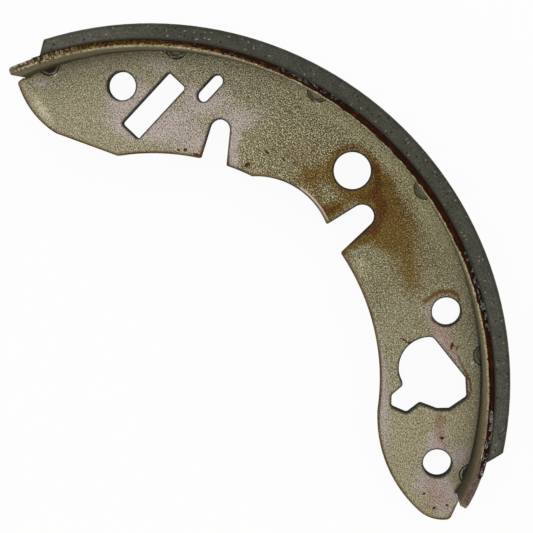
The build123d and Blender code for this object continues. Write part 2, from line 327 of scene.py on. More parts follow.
class AdhesiveFinish(PropertyGroup):
    cured: swatch("Cured adhesive", "Dark red-brown phenolic resin", "#271003")
    thin: swatch("Thin adhesive", "Where it was wiped out thin, at the left end", "#5a4514")
    glow: swatch("Thin streak", "Where light comes back through the resin", "#511b06")
    amber: swatch("Amber fleck", "Thin flecks on the left half", "#855820")
    red: swatch("Red blot", "Thicker resin on the left half", "#34120a")
    pale: swatch("Pale rib", "Between the ribs at the left end", "#a3946c")
    dust: swatch("Dusty flake", "Flakes with lining dust in them", "#4b4a41")
    # Pale flakes, and a painted highlight on the flakes' rims and walls
    flake: swatch("Pale flake", "Dried edges of the flakes", "#a99e9c")
    # Painted shade: creases, between the ribs and the groove along the lining
    crease_shade: swatch("Crease", "Creases, and the groove along the lining", "#0d0906")
    relief: measure("Relief", "Depth of the creases", 0.2)


class LiningFinish(PropertyGroup):
    compound: swatch("Compound", "Friction compound", "#44443a")
    dusty: swatch("Dusty end", "Compound at the left end", "#55534a")
    # Also painted shade: a dark line along the adhesive
    ground: swatch("Ground edge", "Ground corner along the drum face", "#2a2923")
    pale: swatch("Pale fibre", "Mineral and glass fibre", "#918b79")
    copper: swatch("Copper fibre", "Copper and brass chips", "#8f7c62")
    pit: swatch("Pit", "Pores", "#1d1d18")
    speck: measure("Speck spacing", "Distance between two specks", 1.15)
    relief: measure("Relief", "Depth of the moulded surface", 0.12)


class StageSettings(PropertyGroup):
    floor_size: measure("Floor", "Side of the floor", 3000)
    softbox_size: measure("Softbox", "Side of the overhead softbox", 900)
    softbox_height: measure("Softbox height", "Height of the softbox above the part", 900)
    ambient: FloatProperty(name="Ambient", description="Light that comes from all round", default=0.55, min=0)
    softbox_power: FloatProperty(name="Softbox power", description="Watts", default=4.0, min=0)
    glow: FloatProperty(name="Glow", description="Share of white in the floor as seen", default=0.94, max=1)


def add(tree, kind, inputs=None, **settings):
    """Add a node with its settings, and fill its inputs with values, or with links to nodes and sockets."""
    node = tree.nodes.new(kind)
    for name, value in settings.items():
        setattr(node, name, value)
    for key, value in (inputs or {}).items():
        named = [s for s in node.inputs if s.name == key and s.enabled]
        socket = named[0] if named else node.inputs[key]
        if isinstance(value, bpy.types.Node):
            value = next(s for s in value.outputs if s.enabled)
        if isinstance(value, bpy.types.NodeSocket):
            tree.links.new(value, socket)
        else:
            socket.default_value = value
    return node


def new_material(name):
    """Empty node material, its tree and its Principled shader."""
    material = bpy.data.materials.new(name)
    material.use_nodes = True
    return material, material.node_tree, material.node_tree.nodes["Principled BSDF"]


def dress(node, material):
    """Give a CAD node's object a material."""
    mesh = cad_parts[node].data
    mesh.materials.clear()
    mesh.materials.append(material)


class Place:
    """Where a point is: in millimetres, round the rim's arc, above the rim's inner face, and which way it faces."""

    def __init__(self, tree):
        coordinates = add(tree, "ShaderNodeTexCoord")
        whole = {0: coordinates.outputs["Object"], "Scale": 1 / MILLIMETRE}
        self.point = add(tree, "ShaderNodeVectorMath", whole, operation="SCALE")
        axes = add(tree, "ShaderNodeSeparateXYZ", {0: self.point})
        self.height = add(tree, "ShaderNodeMath", {0: axes.outputs["Z"]}, operation="ABSOLUTE")
        up = add(tree, "ShaderNodeMath", {0: axes.outputs["Y"], 1: PITCH}, operation="ADD")
        spoke = add(tree, "ShaderNodeCombineXYZ", {"X": axes.outputs["X"], "Y": up})
        self.radius = add(tree, "ShaderNodeVectorMath", {0: spoke}, operation="LENGTH")
        self.above = add(tree, "ShaderNodeMath", {0: self.radius, 1: RIM_INNER_RADIUS}, operation="SUBTRACT")
        turn = add(tree, "ShaderNodeMath", {0: axes.outputs["X"], 1: up}, operation="ARCTAN2")
        self.angle = add(tree, "ShaderNodeMath", {0: turn}, operation="DEGREES")
        facing = add(tree, "ShaderNodeSeparateXYZ", {0: coordinates.outputs["Normal"]})
        self.facing = add(tree, "ShaderNodeMath", {0: facing.outputs["Z"]}, operation="ABSOLUTE")

    def corner(self, tree, reach):
        """0 on an even face, growing to about 0.3 at a corner, over a reach in millimetres."""
        rounded = add(tree, "ShaderNodeBevel", {"Radius": reach * MILLIMETRE}, samples=8)
        true = add(tree, "ShaderNodeNewGeometry").outputs["Normal"]
        along = add(tree, "ShaderNodeVectorMath", {0: rounded, 1: true}, operation="DOT_PRODUCT")
        return add(tree, "ShaderNodeMath", {0: 1.0, 1: along}, operation="SUBTRACT")

    def streaks(self, tree, length, width, detail):
        """Noise in streaks along the rim, of a length and a width in millimetres."""
        unrolled = add(tree, "ShaderNodeCombineXYZ", {"X": self.angle, "Y": self.radius, "Z": self.height})
        scale = (math.radians(RIM_INNER_RADIUS) / length, 1 / width, 1 / width)
        point = add(tree, "ShaderNodeVectorMath", {0: unrolled, 1: scale}, operation="MULTIPLY")
        return add(tree, "ShaderNodeTexNoise", {"Vector": point, "Scale": 1.0, "Detail": detail})


def lay(tree, ground, colour, value, start, end, strength=1.0, blend="MIX"):
    """Lay a colour over the ground, from nothing where a value is at start to its strength at end."""
    mask = add(
        tree,
        "ShaderNodeMapRange",
        {"Value": value, "From Min": start, "From Max": end, "To Max": strength},
        interpolation_type="SMOOTHSTEP",
    )
    return add(
        tree, "ShaderNodeMix", {"Factor": mask, "A": ground, "B": colour}, data_type="RGBA", blend_type=blend
    )


def shade(tree, ground, value, depth, start=0.3, end=0.7):
    """Darken the ground by a depth where a value is at start, and lighten it as much at end."""
    level = add(
        tree,
        "ShaderNodeMapRange",
        {"Value": value, "From Min": start, "From Max": end, "To Min": 1 - depth, "To Max": 1 + depth},
        interpolation_type="SMOOTHSTEP",
    )
    return add(
        tree, "ShaderNodeMix", {"Factor": 1.0, "A": ground, "B": level}, data_type="RGBA", blend_type="MULTIPLY"
    )


def ragged(tree, point, size, reach):
    """The same point, shifted at random by up to a reach, so that what is drawn there gets ragged edges."""
    shift = add(tree, "ShaderNodeTexNoise", {"Vector": point, "Scale": 1 / size, "Detail": 3.0})
    centred = add(
        tree, "ShaderNodeVectorMath", {0: shift.outputs["Color"], 1: (0.5, 0.5, 0.5)}, operation="SUBTRACT"
    )
    stretch = (2 * reach, 2 * reach, 0.0)
    return add(tree, "ShaderNodeVectorMath", {0: centred, 1: stretch, 2: point}, operation="MULTIPLY_ADD")


def blotches(tree, point, spots, level=0.0):
    """Sum of elliptic cones on top of a level, each highest at its centre and 0 at its edge."""
    for x, y, length, width, turn, height in spots:
        ellipse = {
            "Vector": point,
            "Location": (x, y, 0.0),
            "Rotation": (0.0, 0.0, math.radians(turn)),
            "Scale": (length, width, FLAT),
        }
        local = add(tree, "ShaderNodeMapping", ellipse, vector_type="TEXTURE")
        cone = add(tree, "ShaderNodeTexGradient", {"Vector": local}, gradient_type="SPHERICAL")
        raised = {0: cone.outputs["Fac"], 1: height, 2: level}
        level = add(tree, "ShaderNodeMath", raised, operation="MULTIPLY_ADD")
    return level


def beside_rim(angles, reach, height=1.0):
    """Round blotches at angles from the midline, on the circle that the dents' centres lie on."""
    turns = [math.radians(angle) for angle in angles]
    centres = [(DENT_CENTRE * math.sin(turn), DENT_CENTRE * math.cos(turn) - PITCH) for turn in turns]
    return [(x, y, reach, reach, 0.0, height) for x, y in centres]


def within(tree, value, rise, fall, strength=1.0):
    """Grow from 0 to a strength as a value crosses one range, and fall back to 0 as it crosses the next."""
    grown = {"Value": value, "From Min": rise[0], "From Max": rise[1], "To Max": strength}
    grown = add(tree, "ShaderNodeMapRange", grown)
    fallen = {"Value": value, "From Min": fall[0], "From Max": fall[1], "To Min": grown, "To Max": 0.0}
    return add(tree, "ShaderNodeMapRange", fallen)


def cover(tree, shader, surface, height, relief, specular):
    """Give a shader its colour, its relief and its level of specular."""
    bump = add(tree, "ShaderNodeBump", {"Height": height, "Distance": relief, "Strength": 1.0})
    tree.links.new(surface.outputs[2], shader.inputs["Base Color"])
    tree.links.new(bump.outputs[0], shader.inputs["Normal"])
    shader.inputs["Specular IOR Level"].default_value = specular


def cover_steel(tree, shader, place, surface, grit, relief):
    """Phosphated steel: each grain stands proud and is glossier, and cut walls are dull."""
    cover(tree, shader, surface, grit, relief, 0.15)
    gloss = {"Value": grit, "From Min": 0.35, "From Max": 0.65, "To Min": 0.65, "To Max": 0.35}
    gloss = add(tree, "ShaderNodeMapRange", gloss)
    dull = add(tree, "ShaderNodeMapRange", {"Value": place.facing, "From Min": 0.9, "From Max": 0.5, "To Max": 0.4})
    roughness = add(tree, "ShaderNodeMath", {0: gloss, 1: dull}, operation="ADD")
    metal = {"Value": place.facing, "From Min": 0.5, "From Max": 0.9, "To Max": 0.35}
    metal = add(tree, "ShaderNodeMapRange", metal)
    tree.links.new(roughness.outputs[0], shader.inputs["Roughness"])
    tree.links.new(metal.outputs[0], shader.inputs["Metallic"])


class WebPlace(Place):
    """Where a point of the web is, with the noises and patches that its coats share."""

    def __init__(self, tree, look):
        super().__init__(tree)
        self.warped = ragged(tree, self.point, 3.5, 1.8)
        self.nicked = ragged(tree, self.point, 0.9, 0.55)
        grain = {"Vector": self.point, "Scale": MILLIMETRE / look.grain, "Detail": 1.0, "Roughness": 0.6}
        self.grit = add(tree, "ShaderNodeTexNoise", grain)
        self.grit_up = add(tree, "ShaderNodeMath", {0: self.grit, 1: 0.8}, operation="MULTIPLY")
        self.grit_down = add(tree, "ShaderNodeMath", {0: self.grit, 1: -0.5}, operation="MULTIPLY")
        self.bare = blotches(tree, self.warped, BARE_PATCHES, self.grit_up)
        self.pool = blotches(tree, self.warped, VARNISH_POOLS, self.grit_down)
        self.cloud = add(tree, "ShaderNodeTexNoise", {"Vector": self.point, "Scale": 1 / 7.0, "Detail": 3.0})
        signed = add(tree, "ShaderNodeMath", {0: self.angle, 1: DARKEST_ANGLE}, operation="SUBTRACT")
        self.off_middle = add(tree, "ShaderNodeMath", {0: signed}, operation="ABSOLUTE")
        clouded = {0: self.cloud, 1: CLOUD_REACH, 2: self.off_middle}
        self.clouded = add(tree, "ShaderNodeMath", clouded, operation="MULTIPLY_ADD")


def coat_web(tree, look, place):
    """Coating: darker in the middle of the web and lighter towards both ends, with a greener painted sheen along the
    rim and painted sheen on the grain in patches, and thin where the steel shows through.
    """
    surface = lay(tree, look.deep, look.coated, place.clouded, 16.0, 68.0)
    near_middle = add(tree, "ShaderNodeMapRange", {"Value": place.off_middle, "From Min": 34.0, "From Max": 12.0})
    # Greener painted sheen along the rim in the middle, and towards the right end
    surface = lay(tree, surface, look.lit, place.radius, 88.0, 94.5, near_middle)
    surface = lay(tree, surface, look.lit, place.angle, 38.0, 58.0, 0.22)
    # Painted sheen on the grain, in patches
    sheened = blotches(tree, place.nicked, LIT_PATCHES, place.grit_up)
    surface = lay(tree, surface, look.glint, sheened, 0.5, 1.4, 0.7)
    return lay(tree, surface, look.bare, place.bare, 0.5, 1.2, 0.95)


def grain_web(tree, look, place, surface):
    """Grain: strongest in the darker middle of the web, and fainter on the right half, where it is thin and under
    varnish.
    """
    contrast = {"Value": place.clouded, "From Min": 13.0, "From Max": 68.0, "To Min": 1.3, "To Max": 0.8}
    contrast = add(tree, "ShaderNodeMapRange", contrast)
    fainter = ((place.angle, -5.0, 18.0, 0.9), (place.bare, 0.5, 1.1, 0.75), (place.pool, -0.1, 0.6, 0.75))
    for value, start, end, level in fainter:
        step = {"Value": value, "From Min": start, "From Max": end, "To Min": contrast, "To Max": level}
        contrast = add(tree, "ShaderNodeMapRange", step)
    grain = add(tree, "ShaderNodeMath", {0: place.grit, 1: 0.5}, operation="SUBTRACT")
    grain = add(tree, "ShaderNodeMath", {0: grain, 1: contrast, 2: 0.5}, operation="MULTIPLY_ADD")
    surface = lay(tree, surface, look.pore, grain, 0.5, 0.3, 0.9)
    return lay(tree, surface, look.glint, grain, 0.52, 0.7, 0.85)


def varnish_web(tree, look, place, surface):
    """Varnish: amber where it ran together and browner where it is thickest, with the rust that began under it."""
    blush = blotches(tree, place.warped, BLUSHES, place.grit_down)
    surface = lay(tree, surface, look.blush, blush, -0.3, 0.7, blend="MULTIPLY")
    surface = lay(tree, surface, look.amber, place.pool, -0.42, 0.45, blend="MULTIPLY")
    cores = blotches(tree, place.nicked, VARNISH_CORES, place.grit_down)
    surface = lay(tree, surface, look.core, cores, -0.25, 0.6, blend="MULTIPLY")
    surface = lay(tree, surface, look.line, blotches(tree, place.nicked, VARNISH_LINES), 0.0, 0.9, 0.85)
    return lay(tree, surface, look.rust, blotches(tree, place.nicked, RUST_SPOTS), 0.15, 0.6)


def mark_dents(tree, look, place, surface):
    """Coined dents: painted shade and highlight rings at the punch's steps, sharper towards the ends, grime and painted
    shade in the outer ones, and painted highlights in lines.
    """
    stepped = ragged(tree, place.point, 0.8, 0.45)
    steps = blotches(tree, stepped, beside_rim(DENT_ANGLES, DENT_REACH))
    sharp = {"Value": place.off_middle, "From Min": 12.0, "From Max": 55.0, "To Min": 0.5, "To Max": 0.95}
    sharp = add(tree, "ShaderNodeMapRange", sharp)
    # Rings of painted shade, a painted highlight and painted shade again, down the punch's steps
    surface = lay(tree, surface, look.hole, steps, 0.0, 0.05, sharp)
    surface = lay(tree, surface, look.glint, steps, 0.12, 0.18, sharp)
    surface = lay(tree, surface, look.hole, steps, 0.27, 0.33, sharp)
    surface = lay(tree, surface, look.coated, steps, 0.46, 0.56, 0.85)
    # Grime and painted shade in the outer dents
    dirty_and_shaded = add(tree, "ShaderNodeMapRange", {"Value": place.off_middle, "From Min": 45.0, "From Max": 60.0})
    surface = lay(tree, surface, look.dirt_and_shade, steps, 0.38, 0.55, dirty_and_shaded)
    # Painted highlights along the recess's edge and at the left tip
    surface = lay(tree, surface, look.shine, blotches(tree, place.point, HIGHLIGHT_LINES), 0.1, 0.6, 0.85)
    # Painted highlights in the coined dents
    return lay(tree, surface, look.dent_highlight, blotches(tree, place.point, DENT_HIGHLIGHTS), 0.1, 0.6, 0.95)


def soil_and_shade_web(tree, look, place, surface):
    """Grime and painted shade beside the rim: a soft band and a thin painted shadow line on the right half, and a soft
    band on the left.
    """
    right = within(tree, place.angle, (20.0, 45.0), (65.5, 67.0), 0.9)
    soft = add(tree, "ShaderNodeMath", {0: right, 1: 0.35}, operation="MULTIPLY")
    # Soft band of grime and painted shade beside the rim
    surface = lay(tree, surface, look.dirt_and_shade, place.radius, 92.5, 95.2, soft)
    # Thin painted shadow line where the web meets the rim
    surface = lay(tree, surface, look.hole, place.radius, 94.5, 95.0, right)
    # Soft band of grime and painted shade on the left
    left = within(tree, place.angle, (-30.0, -50.0), (-63.5, -65.0), 0.35)
    return lay(tree, surface, look.dirt_and_shade, place.radius, 91.5, 96.0, left)


def edge_web(tree, look, place, surface):
    """Edges: the outline is rolled and varnished; the holes and slots get painted shade inside and on their rims.

    The outline is where the web's inner radius is, which grows at both ends, and all that lies past the rim.
    """
    right_end = add(tree, "ShaderNodeMapRange", {"Value": place.angle, "From Min": 53.0, "From Max": 73.0})
    left_end = add(tree, "ShaderNodeMapRange", {"Value": place.angle, "From Min": -53.0, "From Max": -73.0})
    ends = add(tree, "ShaderNodeMath", {0: left_end, 1: right_end}, operation="ADD")
    outline = {0: ends, 1: WEB_END_RISE, 2: WEB_INNER_RADIUS}
    outline = add(tree, "ShaderNodeMath", outline, operation="MULTIPLY_ADD")
    inside = add(tree, "ShaderNodeMath", {0: place.radius, 1: outline}, operation="SUBTRACT")
    rolled = add(tree, "ShaderNodeMapRange", {"Value": inside, "From Min": 4.5, "From Max": 3.0})
    past_rim = {"Value": place.off_middle, "From Min": 66.0, "From Max": 67.5, "To Min": rolled, "To Max": 1.0}
    rolled = add(tree, "ShaderNodeMapRange", past_rim)
    # Painted shade for the holes, varnish colour for the rolled outline
    edge = lay(tree, look.hole, look.edge, rolled, 0.0, 1.0)
    edge = shade(tree, edge, place.cloud, 0.35, 0.35, 0.65)
    corner = place.corner(tree, OUTLINE_ROLL)
    surface = lay(tree, surface, edge, corner, 0.001, 0.02, rolled)
    # The slopes of the dents aren't cut walls
    near_dents = blotches(tree, place.point, beside_rim(DENT_ANGLES, DENT_REACH + OUTLINE_ROLL))
    undented = add(tree, "ShaderNodeMapRange", {"Value": near_dents, "From Max": 0.05, "To Min": 1.0, "To Max": 0.0})
    holes = {"Value": place.radius, "From Min": 94.6, "From Max": 93.6, "To Max": undented}
    holes = add(tree, "ShaderNodeMapRange", holes)
    # Painted dark rim round the holes
    surface = lay(tree, surface, edge, corner, 0.03, 0.075, holes)
    # Painted shade on the holes' walls, varnish colour on the outline's walls
    return lay(tree, surface, edge, place.facing, 0.9, 0.6, undented)


def finish_web(look):
    """Phosphate-coated steel under an amber rust-proofing varnish.

    The stamped sheet keeps a sandy grain that glitters a little, except where the coating is thin and
    the pinkish steel shows through. The crystals of a real coating are finer than the grain drawn here,
    and wouldn't show. The varnish is almost clear, and turns rust-brown where it ran together round the
    holes and the right notch, and golden along the rolled outline.
    """
    material, tree, shader = new_material("phosphated_steel_web")
    place = WebPlace(tree, look)
    surface = coat_web(tree, look, place)
    for layer in (grain_web, varnish_web, mark_dents, soil_and_shade_web, edge_web):
        surface = layer(tree, look, place, surface)
    cover_steel(tree, shader, place, surface, place.grit, look.relief)
    return material


def rim_face(tree, look, place, smear):
    """Inner face: olive-brown; grime and painted shade along the web and all over the bent end; painted highlight near
    the corners.
    """
    face = lay(tree, look.inner, look.worn, smear, 0.35, 0.7)
    smeared = add(tree, "ShaderNodeMath", {0: smear, 1: 9.0, 2: place.height}, operation="MULTIPLY_ADD")
    # Grime and painted shade low on the inner face, beside the web
    face = lay(tree, face, look.dirt_and_shade, smeared, 17.0, 7.0, 0.85)
    # Grime and painted shade over the bent end
    bent = add(tree, "ShaderNodeMapRange", {"Value": place.angle, "From Min": 50.0, "From Max": 64.0, "To Max": 0.75})
    face = lay(tree, face, look.dirt_and_shade, smeared, 26.0, 17.0, bent)
    # Golden painted highlight high on the inner face, towards the corner
    return lay(tree, face, look.corner_highlight, smeared, 17.0, 22.0, 0.3)


def slit_edge(tree, look, place, smear):
    """Slit edge: mauve on the bent end, ribbed across at the left end, and stained where adhesive was wiped off."""
    edge = lay(tree, look.slit, look.bent, place.angle, 44.0, 60.0)
    edge = lay(tree, edge, look.stain, place.above, 0.35, 0.9, 0.7)
    edge = lay(tree, edge, look.bent, place.angle, 58.0, 60.0)
    ribs = place.streaks(tree, 0.6, 2.2, 2.0)
    scuffs = add(tree, "ShaderNodeTexNoise", {"Vector": place.point, "Scale": 1 / 0.9, "Detail": 3.0})
    left_end = add(tree, "ShaderNodeMapRange", {"Value": place.angle, "From Min": -52.0, "From Max": -58.0})
    edge = lay(tree, edge, look.rib, ribs, 0.54, 0.4, left_end)
    edge = lay(tree, edge, look.end, scuffs, 0.52, 0.66, left_end)
    edge = lay(tree, edge, look.stain, scuffs, 0.46, 0.34, left_end)
    edge = lay(tree, edge, look.scuff, smear, 0.58, 0.72, 0.7)
    # Painted highlight on the left end's corner
    return lay(tree, edge, look.end, place.angle, -65.2, -66.4, 0.7)


def finish_rim(look):
    """The same coated steel as a rolled strip: olive-brown inside, with paler slit edges.

    Grime and painted shade lie along the web and darken the bent end, and painted highlights draw golden lines along
    the corners.
    """
    material, tree, shader = new_material("phosphated_steel_rim")
    place = Place(tree)
    grain = {"Vector": place.point, "Scale": MILLIMETRE / look.grain, "Roughness": 0.6, "Distortion": 0.6}
    grit = add(tree, "ShaderNodeTexNoise", grain)
    smear = place.streaks(tree, 7.0, 1.6, 4.0)
    face = rim_face(tree, look, place, smear)
    edge = slit_edge(tree, look, place, smear)
    surface = lay(tree, face, edge, place.height, RIM_SIDE - 0.35, RIM_SIDE - 0.15)
    # Painted highlight along the corners
    surface = lay(tree, surface, look.corner_highlight, place.corner(tree, 0.6), 0.02, 0.12, 0.6)
    surface = shade(tree, surface, grit, 0.4, 0.38, 0.62)
    cover_steel(tree, shader, place, surface, grit, look.relief)
    return material


def finish_adhesive(look):
    """Heat-cured phenolic adhesive: nearly black, deep red where it is thinner, and creased.

    Towards the left end it was wiped out thin: amber, then pale low on the rim's edge, and ribbed across.
    """
    material, tree, shader = new_material("cured_phenolic_adhesive")
    place = Place(tree)
    lumps = add(tree, "ShaderNodeTexNoise", {"Vector": place.point, "Scale": 1 / 0.8, "Detail": 3.0})
    streaks = place.streaks(tree, 2.2, 0.5, 3.0)
    blots = place.streaks(tree, 0.9, 0.5, 2.0)
    ribs = place.streaks(tree, 0.35, 3.0, 2.0)
    surface = lay(tree, look.cured, look.glow, streaks, 0.52, 0.72)
    surface = lay(tree, surface, look.thin, place.angle, -28.0, -60.0, 0.85)
    left_half = add(tree, "ShaderNodeMapRange", {"Value": place.angle, "From Min": 10.0, "From Max": -40.0})
    surface = lay(tree, surface, look.amber, streaks, 0.58, 0.7, left_half)
    surface = lay(tree, surface, look.red, blots, 0.54, 0.66, left_half)
    wiped = {"Value": place.angle, "From Min": -18.0, "From Max": -42.0, "To Max": 0.8}
    wiped = add(tree, "ShaderNodeMapRange", wiped)
    low = add(tree, "ShaderNodeMath", {0: blots, 1: 2.0, 2: place.above}, operation="MULTIPLY_ADD")
    surface = lay(tree, surface, look.pale, low, 2.05, 1.5, wiped)
    ribbed = {"Value": place.angle, "From Min": -53.0, "From Max": -57.0, "To Max": 0.7}
    ribbed = add(tree, "ShaderNodeMapRange", ribbed)
    surface = lay(tree, surface, look.pale, ribs, 0.48, 0.62, ribbed)
    # Painted shade between the ribs and in the creases
    surface = lay(tree, surface, look.crease_shade, ribs, 0.48, 0.38, ribbed)
    surface = lay(tree, surface, look.crease_shade, lumps, 0.48, 0.34, 0.9)
    # Painted shade fills a groove along the lining, and widens where the adhesive tore
    groove = add(tree, "ShaderNodeMath", {0: blots, 1: place.above}, operation="ADD")
    groove = blotches(tree, place.point, beside_rim(TORN_ANGLES, 6.0, 0.55), groove)
    surface = lay(tree, surface, look.crease_shade, groove, 2.25, 2.5, 0.95)
    cover(tree, shader, surface, lumps, look.relief, 0.03)
    shader.inputs["Roughness"].default_value = 0.5
    return material


def finish_lining(look):
    """Moulded friction compound: dull dark grey-green, with fibre, metal chips and pores."""
    material, tree, shader = new_material("moulded_friction_lining")
    place = Place(tree)
    mottle = add(tree, "ShaderNodeTexNoise", {"Vector": place.point, "Scale": 1 / 0.5, "Detail": 2.0})
    cloud = add(tree, "ShaderNodeTexNoise", {"Vector": place.point, "Scale": 1 / 3.0, "Detail": 2.0})
    surface = lay(tree, look.compound, look.dusty, place.angle, -36.0, -56.0)
    surface = lay(tree, surface, look.dusty, place.angle, 15.0, 50.0, 0.6)
    surface = shade(tree, surface, mottle, 0.35, 0.3, 0.7)
    surface = shade(tree, surface, cloud, 0.15)
    # Each kind of speck: its colour, the share of cells without it, its radius in cells, its turn and its length
    kinds = (
        (look.pale, 0.72, 0.22, 0.0, 1.0),
        (look.pale, 0.82, 0.18, 35.0, 3.0),
        (look.pale, 0.86, 0.16, 110.0, 3.0),
        (look.copper, 0.88, 0.24, 60.0, 1.4),
        (look.pit, 0.5, 0.3, 80.0, 1.3),
    )
    warped = ragged(tree, place.point, 0.5, 0.3)
    for colour, share, radius, turn, length in kinds:
        stretch = {
            "Vector": warped,
            "Location": (turn, 0.0, 0.0),
            "Rotation": (0.0, 0.0, math.radians(turn)),
            "Scale": (length, 1.0, 1.0),
        }
        moved = add(tree, "ShaderNodeMapping", stretch, vector_type="TEXTURE")
        cells = add(tree, "ShaderNodeTexVoronoi", {"Vector": moved, "Scale": MILLIMETRE / look.speck})
        picked = add(tree, "ShaderNodeSeparateColor", {0: cells.outputs["Color"]})
        chosen = add(tree, "ShaderNodeMath", {0: picked, 1: share}, operation="GREATER_THAN")
        surface = lay(tree, surface, colour, cells.outputs["Distance"], radius, radius / 2, chosen)
    # Painted shadow along the lining's inner margin, beside the adhesive
    surface = lay(tree, surface, look.ground, place.above, 2.55, 2.2, 0.8)
    # Darker along every corner
    surface = lay(tree, surface, look.ground, place.corner(tree, 1.6), 0.005, 0.06, 0.75)
    cover(tree, shader, surface, mottle, look.relief, 0.2)
    shader.inputs["Roughness"].default_value = 0.8
    return material


def rim_line(distance, height):
    """Points of the line a height above the rim's inner face, at distances along that face from the midline.

    It is a circle about the rim's centre up to the bend, and then a smaller circle that is tangent to it.
    """
    bend = math.radians(BEND_START)
    turn = distance / RIM_INNER_RADIUS
    past = np.maximum(turn - bend, 0) * RIM_INNER_RADIUS / BEND_RADIUS
    turn = np.minimum(turn, bend)
    inner = (RIM_INNER_RADIUS - BEND_RADIUS) * (past > 0)
    reach = np.where(past > 0, BEND_RADIUS, RIM_INNER_RADIUS) + height
    x = inner * math.sin(bend) + reach * np.sin(turn + past)
    y = inner * math.cos(bend) + reach * np.cos(turn + past) - PITCH
    return x, y


def ripple(distance, length, random):
    """Smooth random wave between -1 and 1: random heights a length apart, joined by half cosines."""
    heights = random.uniform(-1, 1, int(np.ptp(distance) / length) + 3)
    place = (distance - distance.min()) / length
    step = place.astype(int)
    share = (1 - np.cos(np.pi * (place - step))) / 2
    return heights[step] * (1 - share) + heights[step + 1] * share


def tube_mesh(name, rings):
    """Closed mesh through rings of points, with a fan over each end."""
    count, around = rings.shape[:2]
    ring, step = np.meshgrid(np.arange(count - 1), np.arange(around), indexing="ij")
    follow = (step + 1) % around
    here, there = ring * around, (ring + 1) * around
    sides = np.stack([here + step, here + follow, there + follow, there + step], axis=-1)
    ends = rings[[0, -1]].mean(axis=1)
    points = np.concatenate([rings.reshape(-1, 3), ends])
    step, follow, last = step[0], follow[0], (count - 1) * around
    start_fan = np.stack([np.full(around, count * around), follow, step], axis=-1)
    end_fan = np.stack([np.full(around, count * around + 1), last + step, last + follow], axis=-1)
    faces = [*sides.reshape(-1, 4).tolist(), *start_fan.tolist(), *end_fan.tolist()]
    mesh = bpy.data.meshes.new(name)
    mesh.from_pydata((points * MILLIMETRE).tolist(), [], faces)
    mesh.validate()
    mesh.shade_smooth()
    return mesh


def show(name, mesh, material):
    """Put a mesh in the scene as a piece of the shoe."""
    mesh.materials.append(material)
    piece = bpy.data.objects.new(name, mesh)
    bpy.context.scene.collection.objects.link(piece)
    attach(piece, "root")


def bead(side, seed):
    """Rings of the adhesive that was squeezed out over one side edge of the rim.

    Its section is a superellipse of power 4. It reaches from the film down the side edge, farthest on
    the midline, and random waves along the rim move its lower edge and swell it.
    """
    random = np.random.default_rng(seed)
    distance = np.arange(BEAD_START, BEAD_END, BEAD_STEP)
    taper = np.clip(np.minimum(distance - BEAD_START, BEAD_END - distance) / BEAD_TAPER, 0.05, 1) ** 0.5
    low = BEAD_LOW + BEAD_LOW_RISE * np.abs(distance / BEAD_END) ** 1.2
    for rise, length in LOW_RIPPLES:
        low = low + rise * ripple(distance, length, random)
    rise, length = DEPTH_RIPPLE
    depth = (BEAD_DEPTH + rise * ripple(distance, length, random)) * taper
    around = np.linspace(0, 2 * math.pi, BEAD_AROUND, endpoint=False)
    across, out = np.cos(around), np.sin(around)
    size = (across**4 + out**4) ** -0.25
    half_width = (BEAD_HIGH - low) / 2 * taper
    height = ((BEAD_HIGH + low) / 2)[:, None] + half_width[:, None] * across * size
    x, y = rim_line(np.broadcast_to(distance[:, None], height.shape), height)
    z = side * (RIM_SIDE + BEAD_PROUD + depth[:, None] * out * size)
    rings = np.stack([x, y, z], axis=-1)
    return rings[:, ::-1] if side > 0 else rings


